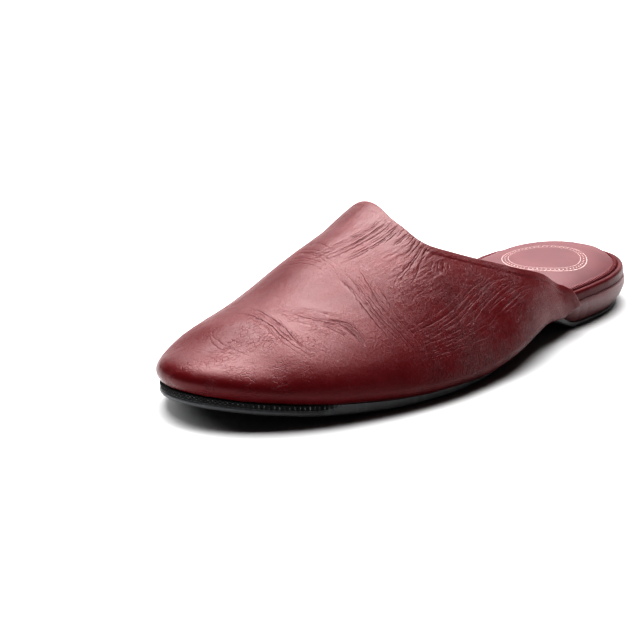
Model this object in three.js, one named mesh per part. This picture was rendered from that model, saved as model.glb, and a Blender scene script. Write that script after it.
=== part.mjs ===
// Leather mule slipper, left shoe. Millimetres, +Z up, toe towards -Y, lateral side towards +X.
// Five pieces: rubber outsole, leather-covered heel, hollow upper, padded insole and a rolled bead.

import * as THREE from 'three';

// Driving dimensions of the shoe
const shoeLength = 268;
const ballWidth = 95;
const instepRise = 57.5;
const toeSpring = 7;
const archRise = 6.5;
const seatHeight = 17;

// Walls, edges and fits
const upperWall = 1.8;
const clearance = 0.3;
const toplineFold = 4.4;
const toplineStep = 0.5;
const lastingMargin = 6;
const insoleThickness = 3.4;
const seatCrown = 6.8;
const seatFullness = 3;
const footCrown = 0.6;
const beadWidth = 3.4;
const beadHeight = 4.8;
const soleThickness = 4.6;
const soleBottomRound = 2;
const flangeShare = 0.46;
const ribPitch = 2;
const ribDepth = 0.45;
const heelTaper = 2.8;
const heelBulge = 0.5;
const bottomInset = 0.5;
const flangeInset = 0.2;
const wingClimb = 0.038;

// Places along the foot, as shares of the length from the back of the heel
const heelRound = 0.165;
const toeRound = 0.26;
const toeBoxRound = 0.125;
const springStart = 0.7;
const breastBack = 0.24;
const breastFront = 0.315;
const archEnd = 0.6;
const heelFront = 0.4;
const seatBlend = 0.02;
const flangeStart = 0.84;
const beadEnd = 0.3;

// Plan of the seat and forefoot edge: half width as a share of half the ball width,
// middle as a share of the ball width, positive to the lateral side.
const planRows = [
  { along: 0.00, half: 0.720, middle: -0.010 },
  { along: 0.12, half: 0.718, middle: 0.004 },
  { along: 0.20, half: 0.714, middle: 0.027 },
  { along: 0.30, half: 0.706, middle: 0.044 },
  { along: 0.40, half: 0.730, middle: 0.070 },
  { along: 0.50, half: 0.825, middle: 0.086 },
  { along: 0.58, half: 0.912, middle: 0.068 },
  { along: 0.66, half: 0.986, middle: 0.040 },
  { along: 0.74, half: 1.000, middle: 0.003 },
  { along: 0.82, half: 0.985, middle: -0.030 },
  { along: 0.90, half: 0.985, middle: -0.052 },
  { along: 1.00, half: 0.980, middle: -0.085 },
];

// Thickness of the outsole and how far its edge stands in from the plan, shares of the sole's thickness.
const soleRows = [
  { along: 0.00, thickness: 0.38, inset: 0.65 },
  { along: 0.22, thickness: 0.38, inset: 0.65 },
  { along: 0.29, thickness: 0.58, inset: 0.58 },
  { along: 0.32, thickness: 0.60, inset: 0.55 },
  { along: 0.42, thickness: 0.57, inset: 0.45 },
  { along: 0.50, thickness: 0.57, inset: 0.20 },
  { along: 0.62, thickness: 0.61, inset: 0.00 },
  { along: 0.72, thickness: 0.78, inset: 0.00 },
  { along: 0.84, thickness: 1.00, inset: 0.00 },
  { along: 1.00, thickness: 1.02, inset: 0.00 },
];

// How the upper turns over its widest line, shares of the instep rise: outset of that line on each
// side, then how far and how high the wall tucks back to the feather edge on the sole.
const tuckRows = [
  { along: 0.26, lateral: 0.052, medial: 0.052, inset: 0.000, height: 0.000 },
  { along: 0.31, lateral: 0.054, medial: 0.054, inset: 0.000, height: 0.000 },
  { along: 0.36, lateral: 0.078, medial: 0.070, inset: 0.078, height: 0.061 },
  { along: 0.42, lateral: 0.118, medial: 0.087, inset: 0.122, height: 0.104 },
  { along: 0.50, lateral: 0.122, medial: 0.080, inset: 0.127, height: 0.113 },
  { along: 0.58, lateral: 0.113, medial: 0.059, inset: 0.116, height: 0.101 },
  { along: 0.68, lateral: 0.097, medial: 0.042, inset: 0.104, height: 0.090 },
  { along: 0.82, lateral: 0.076, medial: 0.028, inset: 0.085, height: 0.080 },
  { along: 1.00, lateral: 0.023, medial: 0.023, inset: 0.056, height: 0.073 },
];

// Sections of the upper: crown height as a share of the instep rise, sideways lean of the crown as a
// share of the ball width, and the power that rounds or sharpens the arch over the foot.
const sectionRows = [
  { along: 0.26, crown: 0.450, lean: 0.063, power: 1.00 },
  { along: 0.34, crown: 0.610, lean: -0.010, power: 1.15 },
  { along: 0.42, crown: 0.750, lean: -0.105, power: 1.40 },
  { along: 0.50, crown: 0.920, lean: -0.168, power: 1.55 },
  { along: 0.57, crown: 1.000, lean: -0.147, power: 1.60 },
  { along: 0.64, crown: 0.887, lean: -0.095, power: 1.55 },
  { along: 0.72, crown: 0.729, lean: -0.058, power: 1.46 },
  { along: 0.80, crown: 0.522, lean: -0.010, power: 1.28 },
  { along: 0.88, crown: 0.362, lean: -0.005, power: 1.11 },
  { along: 0.94, crown: 0.236, lean: 0.000, power: 1.07 },
  { along: 1.00, crown: 0.217, lean: 0.000, power: 1.00 },
];

// Topline: around the section from the lateral edge (0) over the crown to the medial edge (1).
const toplineRows = [
  { along: 0.00, start: 0.262 },
  { along: 0.05, start: 0.270 },
  { along: 0.10, start: 0.282 },
  { along: 0.16, start: 0.319 },
  { along: 0.23, start: 0.447 },
  { along: 0.31, start: 0.571 },
  { along: 0.40, start: 0.596 },
  { along: 0.50, start: 0.580 },
  { along: 0.60, start: 0.560 },
  { along: 0.69, start: 0.518 },
  { along: 0.77, start: 0.444 },
  { along: 0.84, start: 0.360 },
  { along: 0.90, start: 0.296 },
  { along: 0.95, start: 0.272 },
  { along: 1.00, start: 0.266 },
];

// Fineness of the surfaces
const sectionSteps = 40;
const lengthSteps = 26;
const soleSteps = 56;
const tuckSteps = 3;
const beadSides = 8;

const clamp = THREE.MathUtils.clamp;
const ease = THREE.MathUtils.smoothstep;
const mix = THREE.MathUtils.lerp;

// Smooth curve through one named column of a table.
function column(rows, name, along) {
  const x = rows.map((row) => row.along);
  const y = rows.map((row) => row[name]);
  const last = rows.length - 1;
  const place = clamp(along, x[0], x[last]);
  let k = 0;
  while (k < last - 1 && place > x[k + 1]) k += 1;
  const slope = (i) => (y[i + 1] - y[i]) / (x[i + 1] - x[i]);
  const tangent = (i) => {
    if (i === 0) return slope(0);
    if (i === last) return slope(last - 1);
    const before = x[i] - x[i - 1];
    const after = x[i + 1] - x[i];
    return (slope(i - 1) * after + slope(i) * before) / (before + after);
  };
  const h = x[k + 1] - x[k];
  const t = (place - x[k]) / h;
  const startShare = 2 * t ** 3 - 3 * t ** 2 + 1;
  const startPull = (t ** 3 - 2 * t ** 2 + t) * h;
  const endPull = (t ** 3 - t ** 2) * h;
  return startShare * y[k] + (1 - startShare) * y[k + 1] + startPull * tangent(k) + endPull * tangent(k + 1);
}

// Quarter-ellipse that rounds an end: 0 at the end, 1 once the round is over.
const roundEnd = (distance, round) => Math.sqrt(1 - (1 - clamp(distance / round, 0, 1)) ** 2);

// Places along the foot are walked by an angle, which gathers them at heel and toe.
const alongOf = (angle) => (1 - Math.cos(angle)) / 2;
const angleOf = (along) => Math.acos(1 - 2 * clamp(along, 0, 1));
const yOf = (along) => shoeLength * (0.5 - along);
const alongAt = (y) => clamp(0.5 - y / shoeLength, 0, 1);

// The plan edge; side is 1 on the lateral side and -1 on the medial side.
function planEdge(angle, side) {
  const along = alongOf(angle);
  const round = roundEnd(along, heelRound) * roundEnd(1 - along, toeRound);
  const half = column(planRows, 'half', along) * round * ballWidth / 2;
  const middle = column(planRows, 'middle', along) * ballWidth;
  return new THREE.Vector2(middle + side * half, yOf(along));
}

// The same edge moved outwards along its own normal.
function offsetEdge(angle, side, outset) {
  const step = 0.004;
  const atTip = angle < step || angle > Math.PI - step;
  const run = atTip
    ? new THREE.Vector2(side * Math.sign(Math.PI / 2 - angle), 0)
    : planEdge(angle + step, side).sub(planEdge(angle - step, side)).normalize();
  return planEdge(angle, side).add(new THREE.Vector2(-run.y, run.x).multiplyScalar(side * outset));
}

// Heights above the floor
function soleBottom(along) {
  const spring = toeSpring * clamp((along - springStart) / (1 - springStart), 0, 1) ** 2;
  return spring + archRise * ease(along, breastBack, breastFront) * (1 - ease(along, breastFront + 0.02, archEnd));
}
const soleEdge = (along) => column(soleRows, 'thickness', along) * soleThickness;
const soleTop = (along) => soleBottom(along) + soleEdge(along);

// The feather edge lies on the sole; behind the waist it climbs along the wing of the upper.
function featherHeight(along) {
  const climb = wingClimb * instepRise * clamp((breastFront - along) / 0.05, 0, 1);
  return soleTop(Math.max(along, breastFront)) + clearance + climb;
}

// Underside of the insole: the heel's seat behind, the lasting margin in front.
function insoleBase(along) {
  const seat = seatHeight - beadHeight + clearance;
  const margin = soleTop(Math.max(along, breastFront)) + 2 * clearance + upperWall;
  return mix(seat, margin, ease(along, breastBack - seatBlend, heelFront + seatBlend));
}

const tuck = (name, along) => Math.max(0, column(tuckRows, name, along)) * instepRise;
const marginWidth = (along) => lastingMargin * ease(along, breastFront + 0.01, heelFront);
const sideName = (side) => (side > 0 ? 'lateral' : 'medial');

// A closed surface, built from corner points that are shared as they are added.
class Skin {
  constructor() {
    this.points = [];
    this.steps = [];
    this.faces = [];
    this.known = new Map();
  }

  point(x, y, z, step = 0) {
    const key = [x, y, z].map((value) => Math.round(value * 1e4)).join();
    if (!this.known.has(key)) {
      this.known.set(key, this.points.length);
      this.points.push(new THREE.Vector3(x, y, z));
      this.steps.push(step);
    }
    return this.known.get(key);
  }

  triangle(a, b, c) {
    if (a !== b && b !== c && c !== a) this.faces.push([a, b, c]);
  }

  quad(a, b, c, d) {
    this.triangle(a, b, c);
    this.triangle(a, c, d);
  }

  // Quads over rows of corner numbers; closed rows run back to their first corner.
  grid(rows, closed = false) {
    for (let r = 0; r + 1 < rows.length; r += 1) {
      const count = rows[r].length;
      for (let k = 0; k < (closed ? count : count - 1); k += 1) {
        const next = (k + 1) % count;
        this.quad(rows[r][k], rows[r][next], rows[r + 1][next], rows[r + 1][k]);
      }
    }
  }

  normals() {
    const sums = this.points.map(() => new THREE.Vector3());
    for (const face of this.faces) {
      const [a, b, c] = face.map((index) => this.points[index]);
      const normal = b.clone().sub(a).cross(c.clone().sub(a));
      face.forEach((index) => sums[index].add(normal));
    }
    return sums.map((sum) => sum.normalize());
  }

  volume() {
    return this.faces.reduce((sum, face) => {
      const [a, b, c] = face.map((index) => this.points[index]);
      return sum + a.dot(b.clone().cross(c)) / 6;
    }, 0);
  }

  faceOut() {
    if (this.volume() < 0) this.faces = this.faces.map(([a, b, c]) => [a, c, b]);
    return this;
  }

  geometry() {
    const order = this.faceOut().faces.flat();
    const made = new THREE.BufferGeometry();
    made.setAttribute('position', new THREE.Float32BufferAttribute(this.points.flatMap((p) => p.toArray()), 3));
    made.setIndex(order);
    made.computeVertexNormals();
    return made;
  }
}

// Gives an open skin a wall: steps stand proud outside, the lining lies one wall thickness inside.
function thicken(open, wall) {
  const solid = new Skin();
  const normals = open.normals();
  const outer = open.points.map((p, i) => p.clone().addScaledVector(normals[i], open.steps[i]));
  const inner = open.points.map((p, i) => p.clone().addScaledVector(normals[i], -wall));
  solid.points = outer.concat(inner);
  const lining = outer.length;
  const edges = new Map();
  for (const [a, b, c] of open.faces) {
    solid.triangle(a, b, c);
    solid.triangle(lining + a, lining + c, lining + b);
    [[a, b], [b, c], [c, a]].forEach(([from, to]) => {
      if (!edges.delete(`${to},${from}`)) edges.set(`${from},${to}`, [from, to]);
    });
  }
  for (const [from, to] of edges.values()) solid.quad(to, from, lining + from, lining + to);
  return solid;
}

// A loft of closed rings. Each ring is a lateral and a medial row of points from heel to front.
function loft(rings, crossSteps, crownOf, fullness = 2) {
  const skin = new Skin();
  const add = (p) => skin.point(p.x, p.y, p.z);
  const numbered = rings.map((ring) => [...ring.lateral.map(add), ...ring.medial.map(add).reverse()]);
  skin.grid(numbered, true);
  const cap = (ring, steps, crown, turned) => {
    const across = [];
    for (let k = 0; k <= steps; k += 1) {
      const v = k / steps;
      across.push(ring.lateral.map((p, i) => {
        const q = ring.medial[i];
        return add(p.clone().lerp(q, v).add(new THREE.Vector3(0, 0, crown(p, q) * (1 - Math.abs(2 * v - 1) ** fullness))));
      }));
    }
    skin.grid(turned ? across.reverse() : across);
  };
  cap(rings[0], 1, () => 0, true);
  cap(rings[rings.length - 1], crossSteps, crownOf, false);
  return skin;
}

// One ring: outset and height are given as functions of the place along the foot.
function ring(angles, outsetOf, heightOf) {
  const half = (side) => angles.map((angle, index) => {
    const p = offsetEdge(angle, side, outsetOf(alongOf(angle), side, index));
    return new THREE.Vector3(p.x, p.y, heightOf(alongAt(p.y), alongOf(angle)));
  });
  return { lateral: half(1), medial: half(-1) };
}

const evenAngles = (from, to, count) => Array.from({ length: count + 1 }, (_, k) => mix(from, to, k / count));

// Outsole, heel and insole share their stations behind the flange, so that their facets stay parallel.
const soleAngles = evenAngles(0, angleOf(flangeStart), soleSteps);

// Angles at equal distances along the lateral edge, from a place on the foot to the toe's tip.
function ribAngles(from) {
  const fine = evenAngles(angleOf(from), Math.PI, 400);
  const walked = [0];
  for (let k = 1; k < fine.length; k += 1) {
    walked.push(walked[k - 1] + planEdge(fine[k], 1).distanceTo(planEdge(fine[k - 1], 1)));
  }
  const total = walked[walked.length - 1];
  const count = 2 * Math.round(total / ribPitch);
  const picked = [];
  for (let k = 0; k <= count; k += 1) {
    const target = total * k / count;
    const i = Math.min(fine.length - 2, walked.filter((w) => w < target - 1e-9).length);
    const low = Math.max(0, i - 1);
    const share = (target - walked[low]) / (walked[low + 1] - walked[low]);
    picked.push(mix(fine[low], fine[low + 1], clamp(share, 0, 1)));
  }
  picked[count] = Math.PI;
  return picked;
}

// Outsole: rounded lower edge, bevelled band, and at the forefoot a flange with upright ribs.
function outsoleGeometry() {
  const ribs = ribAngles(flangeStart);
  const angles = [...soleAngles.slice(0, -1), ...ribs];
  const firstRib = angles.length - ribs.length;
  const inset = (along) => column(soleRows, 'inset', along) * soleThickness;
  const flange = (along) => ease(along, flangeStart, flangeStart + 0.05);
  const rib = (index, along) => (index > firstRib && (angles.length - 1 - index) % 2 ? ribDepth * flange(along) : 0);
  const rise = (share) => (place) => soleBottom(place) + soleEdge(place) * share(place);
  const bandTop = (place) => 1 - flangeShare * flange(place);
  const rings = [
    ring(angles, (along) => -inset(along) - soleBottomRound, rise(() => 0)),
    ring(angles, (along) => -inset(along) - soleBottomRound * 0.35, rise(() => 0.22)),
    ring(angles, (along) => -inset(along) - ribDepth * flange(along) - flangeInset, rise((p) => bandTop(p) - 0.06)),
    ring(angles, (along, side, index) => -inset(along) - rib(index, along), rise((p) => bandTop(p) - 0.02 * flange(p))),
    ring(angles, (along, side, index) => -inset(along) - rib(index, along) - 0.02, rise(() => 1)),
  ];
  return loft(rings, 1, () => 0).geometry();
}

// Profile of the heel's side, from the sole up to the seat.
const heelRows = [
  { lift: 0.00, taper: 1.00, edge: 1, bulge: 0.0 },
  { lift: 0.08, taper: 1.00, edge: 0, bulge: 0.0 },
  { lift: 0.40, taper: 0.42, edge: 0, bulge: 0.4 },
  { lift: 0.78, taper: 0.00, edge: 0, bulge: 0.3 },
  { lift: 0.94, taper: 0.00, edge: 0, bulge: 0.5 },
  { lift: 1.00, taper: 0.00, edge: 0, bulge: 1.4 },
];

// Heel: a low covered block. Under the upper it narrows to a thin wedge inside the lasting margin.
function heelGeometry() {
  const angles = soleAngles.filter((angle) => alongOf(angle) < heelFront);
  const room = (along, side) => {
    const free = tuck(sideName(side), along) - upperWall - clearance - tuck('inset', along) - marginWidth(along);
    return along > breastFront ? Math.min(0, free) : 0;
  };
  const shape = (taper, lift, bulge) => ring(
    angles,
    (along, side) => room(along, side) - taper * (1 - ease(along, breastBack, heelFront)) + bulge,
    (place) => mix(soleTop(place) + clearance, insoleBase(place) - clearance, lift),
  );
  const rings = heelRows.map((row) => shape(row.taper * heelTaper + row.edge * bottomInset, row.lift, -row.bulge * heelBulge));
  return loft(rings, 1, () => 0).geometry();
}

// Profile of the insole's side, from its underside to its top: turn is a share of the tuck's quarter turn.
const insoleRows = [
  { lift: 0.00, turn: 1.00, round: 0.15 },
  { lift: 0.14, turn: 1.00, round: 0.03 },
  { lift: 0.60, turn: 0.63, round: 0.09 },
  { lift: 0.86, turn: 0.56, round: 0.26 },
  { lift: 1.00, turn: 0.56, round: 0.76 },
];

// Insole: padded sock. Its side follows the inside of the tucked wall, or the bead at the heel.
function insoleGeometry() {
  const toeAngles = evenAngles(angleOf(flangeStart), Math.PI, 12).slice(1);
  const angles = [...soleAngles.filter((angle, k) => k % 2 === 0), ...toeAngles];
  const wallSide = (along, side, turn) => {
    const radius = Math.max(0, tuck('inset', along) - upperWall);
    return tuck(sideName(side), along) - upperWall - clearance - radius * (1 - Math.cos(turn));
  };
  const shape = (lift, turn, round) => ring(
    angles,
    (along, side) => mix(
      -beadWidth - clearance,
      wallSide(along, side, turn),
      ease(along, beadEnd + 0.01, heelFront),
    ) - round,
    (place) => insoleBase(place) + lift * mix(beadHeight, insoleThickness, ease(place, breastBack, heelFront)),
  );
  const rings = insoleRows.map((row) => shape(row.lift, row.turn * Math.PI / 2, row.round * insoleThickness));
  const width = (p, q) => clamp(p.distanceTo(q) / (ballWidth * 0.6), 0, 1);
  const crown = (p, q) => width(p, q) * mix(seatCrown, footCrown, ease(alongAt(p.y), 0.2, 0.5));
  return loft(rings, 6, crown, seatFullness).geometry();
}

// Bead: a roll that rests on the heel's edge from one wing of the upper round to the other.
function beadGeometry() {
  const across = (beadWidth - clearance) / 2;
  const upright = (beadHeight - clearance) / 2;
  const side = (which) => evenAngles(0, angleOf(beadEnd), 26).map((angle) => {
    const p = offsetEdge(angle, which, -beadWidth / 2);
    return new THREE.Vector3(p.x, p.y, insoleBase(alongAt(p.y)) + upright);
  });
  const route = [...side(1).slice(1).reverse(), ...side(-1)];
  const skin = new Skin();
  const rings = route.map((centre, i) => {
    const run = route[Math.min(i + 1, route.length - 1)].clone().sub(route[Math.max(i - 1, 0)]).normalize();
    const out = new THREE.Vector3(run.y, -run.x, 0).normalize();
    return Array.from({ length: beadSides }, (_, k) => {
      const turn = 2 * Math.PI * k / beadSides;
      const p = centre.clone().addScaledVector(out, across * Math.cos(turn));
      return skin.point(p.x, p.y, p.z + upright * Math.sin(turn));
    });
  });
  skin.grid(rings, true);
  const end = (ringOf, centre, turned) => {
    const hub = skin.point(centre.x, centre.y, centre.z);
    ringOf.forEach((corner, k) => {
      const next = ringOf[(k + 1) % beadSides];
      if (turned) skin.triangle(hub, corner, next);
      else skin.triangle(hub, next, corner);
    });
  };
  end(rings[0], route[0], false);
  end(rings[rings.length - 1], route[route.length - 1], true);
  return skin.geometry();
}

// Upper wall above its widest line. Turn runs from 0, lateral, over the crown to pi, medial.
function upperPoint(angle, turn) {
  const along = alongOf(angle);
  const lateral = offsetEdge(angle, 1, tuck('lateral', along));
  const medial = offsetEdge(angle, -1, tuck('medial', along));
  const half = lateral.clone().sub(medial).multiplyScalar(0.5);
  const middle = lateral.clone().add(medial).multiplyScalar(0.5);
  const over = Math.max(0, Math.sin(turn));
  const crown = column(sectionRows, 'crown', along) * instepRise * roundEnd(1 - along, toeBoxRound);
  const lean = column(sectionRows, 'lean', along) * ballWidth * roundEnd(1 - along, toeRound);
  const widest = featherHeight(along) + tuck('height', along);
  return new THREE.Vector3(
    middle.x + half.x * Math.cos(turn) + lean * over ** 2,
    middle.y + half.y * Math.cos(turn),
    widest + crown * over ** column(sectionRows, 'power', along),
  );
}

// Tucked band and lasting margin below the widest line.
function tuckPoint(angle, side, turn, margin) {
  const along = alongOf(angle);
  const inset = tuck('inset', along) * (1 - Math.cos(turn)) + margin;
  const p = offsetEdge(angle, side, tuck(sideName(side), along) - inset);
  const place = Math.max(alongAt(p.y), breastFront);
  const ground = along > breastFront ? featherHeight(place) : featherHeight(along);
  return new THREE.Vector3(p.x, p.y, ground + tuck('height', along) * (1 - Math.sin(turn)));
}

const toplineAngle = (share) => angleOf(column(toplineRows, 'start', clamp(share, 0, 1)));

// Angles of one lengthwise line: close rows over the folded topline, then even ones to the toe.
function lineAngles(share) {
  const start = toplineAngle(share);
  const nudge = share < 0.5 ? 0.01 : -0.01;
  const here = upperPoint(start, share * Math.PI);
  const alongEdge = upperPoint(toplineAngle(share + nudge), (share + nudge) * Math.PI).distanceTo(here);
  const across = upperPoint(start, (share + nudge) * Math.PI).distanceTo(here);
  const slant = clamp(alongEdge / across, 1, 4);
  const perMillimetre = slant * 2 / (shoeLength * Math.sin(start));
  const fold = [0, toplineFold * 0.22, toplineFold, toplineFold * 1.2].map((d) => start + d * perMillimetre);
  const steps = [toplineStep * 0.4, toplineStep, toplineStep, 0];
  const rest = evenAngles(fold[3], Math.PI, lengthSteps).slice(1);
  return [...fold.map((angle, k) => ({ angle, step: steps[k] })), ...rest.map((angle) => ({ angle, step: 0 }))];
}

function upperGeometry() {
  const skin = new Skin();
  const add = (p, step) => skin.point(p.x, p.y, p.z, step);
  const below = (side) => {
    const rows = lineAngles(side > 0 ? 0 : 1);
    const turns = evenAngles(0, Math.PI / 2, tuckSteps).slice(1);
    const band = turns.map((turn) => rows.map(({ angle, step }) => add(tuckPoint(angle, side, turn, 0), step)));
    const margin = rows.map(({ angle, step }) => (
      add(tuckPoint(angle, side, Math.PI / 2, marginWidth(alongOf(angle))), step)
    ));
    return [...band, margin];
  };
  const over = evenAngles(0, 1, sectionSteps).map((share) => (
    lineAngles(share).map(({ angle, step }) => add(upperPoint(angle, share * Math.PI), step))
  ));
  skin.grid([...below(1).reverse(), ...over, ...below(-1)]);
  return thicken(skin.faceOut(), upperWall).geometry();
}

const leather = { color: 0x6e1a22, roughness: 0.42, metalness: 0 };
const pieces = [
  { name: 'outsole', shape: outsoleGeometry, look: { color: 0x17181a, roughness: 0.6, metalness: 0 } },
  { name: 'heel', shape: heelGeometry, look: leather },
  { name: 'upper', shape: upperGeometry, look: leather },
  { name: 'insole', shape: insoleGeometry, look: { color: 0x8d4a50, roughness: 0.5, metalness: 0 } },
  { name: 'bead', shape: beadGeometry, look: leather },
];

const group = new THREE.Group();
for (const { name, shape, look } of pieces) {
  const mesh = new THREE.Mesh(shape(), new THREE.MeshStandardMaterial(look));
  mesh.name = name;
  group.add(mesh);
}

// The origin is the middle of the box on the floor.
const box = new THREE.Box3().setFromObject(group);
const centre = box.getCenter(new THREE.Vector3());
group.children.forEach((mesh) => mesh.position.set(-centre.x, -centre.y, -box.min.z));

export default group;
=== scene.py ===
import math
from functools import partial

import bmesh
import bpy
import numpy as np
from mathutils import Matrix, Vector


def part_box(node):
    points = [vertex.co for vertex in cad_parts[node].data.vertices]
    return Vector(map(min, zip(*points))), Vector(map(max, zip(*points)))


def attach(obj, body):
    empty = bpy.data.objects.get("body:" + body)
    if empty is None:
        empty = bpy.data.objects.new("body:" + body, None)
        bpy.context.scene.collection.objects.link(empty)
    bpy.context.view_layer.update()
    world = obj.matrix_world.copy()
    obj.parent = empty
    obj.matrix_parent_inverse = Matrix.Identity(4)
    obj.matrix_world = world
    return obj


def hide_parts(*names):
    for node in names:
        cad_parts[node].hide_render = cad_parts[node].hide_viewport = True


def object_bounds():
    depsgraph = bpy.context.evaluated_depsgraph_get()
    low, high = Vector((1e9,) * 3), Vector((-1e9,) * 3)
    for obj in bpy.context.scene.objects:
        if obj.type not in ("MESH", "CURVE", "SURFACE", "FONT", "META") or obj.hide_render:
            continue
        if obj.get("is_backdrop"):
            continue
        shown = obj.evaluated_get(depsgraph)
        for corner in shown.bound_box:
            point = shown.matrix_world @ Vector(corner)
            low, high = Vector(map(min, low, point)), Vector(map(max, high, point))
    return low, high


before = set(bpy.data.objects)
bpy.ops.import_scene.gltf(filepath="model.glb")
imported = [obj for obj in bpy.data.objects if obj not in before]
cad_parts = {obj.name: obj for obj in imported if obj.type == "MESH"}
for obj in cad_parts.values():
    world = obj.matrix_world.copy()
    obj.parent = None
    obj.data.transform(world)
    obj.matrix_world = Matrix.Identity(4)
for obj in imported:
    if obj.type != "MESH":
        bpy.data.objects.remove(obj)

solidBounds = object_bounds()

# A left mule slipper: smooth vamp, low covered heel, padded sock with a piped seat, thin rubber sole.
# Everything is in metres. Along runs from the back of the heel, 0, to the tip of the toe, 1.
# Around runs over the upper from its lateral widest line, 0, over the instep to the medial one, 1.
# Side is 1 for lateral and -1 for medial.
mm = 0.001
weldReach = 0.002 * mm
sameReach = 0.001 * mm

# The tables of the last are those of the solids. A fit to outline points read off the photo set the
# topline, the sections, the lateral tuck and toeBoxRound, some of them changed since.
last = dict(
    length=268 * mm, ballWidth=95 * mm, instepRise=57.5 * mm, toeSpring=7 * mm, archRise=6.5 * mm,
    seatHeight=17 * mm, heelRound=0.165, toeRound=0.26, toeBoxRound=0.125, springStart=0.7,
    breastBack=0.24, breastFront=0.315, archEnd=0.6, heelFront=0.4, flangeStart=0.84, beadEnd=0.3,
)
making = dict(
    wall=1.8 * mm, gap=0.3 * mm, margin=6 * mm, sock=3.4 * mm, seatCrown=6.8 * mm, footCrown=0.6 * mm,
    beadWidth=3.4 * mm, beadHeight=4.8 * mm, sole=4.6 * mm, soleRound=2 * mm, flange=0.46,
    ribPitch=2 * mm, ribDepth=0.45 * mm, heelTaper=2.8 * mm, heelBulge=0.5 * mm, bottomInset=0.5 * mm,
)
# Plan edge: half width as a share of half the ball width, middle as a share of the ball width.
planRows = dict(
    along=[0, 0.12, 0.2, 0.3, 0.4, 0.5, 0.58, 0.66, 0.74, 0.82, 0.9, 1],
    half=[0.72, 0.718, 0.714, 0.706, 0.73, 0.825, 0.912, 0.986, 1, 0.985, 0.985, 0.98],
    middle=[-0.01, 0.004, 0.027, 0.044, 0.07, 0.086, 0.068, 0.04, 0.003, -0.03, -0.052, -0.085],
)
# Sole: thickness and inset of its edge from the plan, shares of the sole's thickness.
soleRows = dict(
    along=[0, 0.22, 0.29, 0.32, 0.42, 0.5, 0.62, 0.72, 0.84, 1],
    thickness=[0.38, 0.38, 0.58, 0.6, 0.57, 0.57, 0.61, 0.78, 1, 1.02],
    inset=[0.65, 0.65, 0.58, 0.55, 0.45, 0.2, 0, 0, 0, 0],
)
# Upper's widest line and the band tucked under it, shares of the instep rise.
tuckRows = dict(
    along=[0.26, 0.31, 0.36, 0.42, 0.5, 0.58, 0.68, 0.82, 1],
    lateral=[0.052, 0.054, 0.078, 0.118, 0.122, 0.113, 0.097, 0.076, 0.023],
    medial=[0.052, 0.054, 0.07, 0.087, 0.08, 0.059, 0.042, 0.028, 0.023],
    inset=[0, 0, 0.078, 0.122, 0.127, 0.116, 0.104, 0.085, 0.056],
    height=[0, 0, 0.061, 0.104, 0.113, 0.101, 0.09, 0.08, 0.073],
)
# Sections of the upper: crown height, sideways lean of the crown and how sharp the arch is.
sectionRows = dict(
    along=[0.26, 0.34, 0.42, 0.5, 0.57, 0.64, 0.72, 0.8, 0.88, 0.94, 1],
    crown=[0.45, 0.61, 0.75, 0.92, 1, 0.887, 0.729, 0.522, 0.362, 0.236, 0.217],
    lean=[0.063, -0.01, -0.105, -0.168, -0.147, -0.095, -0.058, -0.01, -0.005, 0, 0],
    power=[1, 1.15, 1.4, 1.55, 1.6, 1.55, 1.46, 1.28, 1.11, 1.07, 1],
)
# Topline, round the section from the lateral edge, 0, over the crown to the medial edge, 1.
toplineRows = dict(
    along=[0, 0.05, 0.1, 0.16, 0.23, 0.31, 0.4, 0.5, 0.6, 0.69, 0.77, 0.84, 0.9, 0.95, 1],
    start=[0.262, 0.27, 0.282, 0.319, 0.447, 0.571, 0.596, 0.58, 0.56, 0.518, 0.444, 0.36, 0.296,
           0.272, 0.266],
)


# Curves of the last


def column(rows, name, along):  # smooth curve through one named column of a table
    x, y = np.array(rows["along"], float), np.array(rows[name], float)
    run, slope = np.diff(x), np.diff(y) / np.diff(x)
    inner = (slope[:-1] * run[1:] + slope[1:] * run[:-1]) / (x[2:] - x[:-2])
    tangent = np.concatenate([slope[:1], inner, slope[-1:]])
    place = np.clip(along, x[0], x[-1])
    k = np.clip(np.searchsorted(x, place) - 1, 0, len(x) - 2)
    t = (place - x[k]) / run[k]
    fromStart = 2 * t**3 - 3 * t**2 + 1
    pull = (t**3 - 2 * t**2 + t) * tangent[k] + (t**3 - t**2) * tangent[k + 1]
    return fromStart * y[k] + (1 - fromStart) * y[k + 1] + pull * run[k]


def ease(value, low, high):  # soft step from 0 to 1
    t = np.clip((value - low) / (high - low), 0, 1)
    return t * t * (3 - 2 * t)


def mixed(a, b, share):
    return a + (b - a) * share


def walkedAlong(line):  # distance from the start of a line to each of its points
    return np.concatenate([[0], np.linalg.norm(np.diff(line, axis=0), axis=1).cumsum()])


def roundEnd(distance, size):  # quarter ellipse that rounds an end
    return np.sqrt(1 - (1 - np.clip(distance / size, 0, 1)) ** 2)


def alongOf(angle):
    return (1 - np.cos(angle)) / 2


def angleOf(along):
    return np.arccos(1 - 2 * np.clip(along, 0, 1))


def alongAt(y):
    return np.clip(0.5 - y / last["length"], 0, 1)


def planEdge(angle, side):
    along = alongOf(angle)
    rounding = roundEnd(along, last["heelRound"]) * roundEnd(1 - along, last["toeRound"])
    half = column(planRows, "half", along) * rounding * last["ballWidth"] / 2
    middle = column(planRows, "middle", along) * last["ballWidth"]
    return np.stack([middle + side * half, last["length"] * (0.5 - along)], -1)


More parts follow.
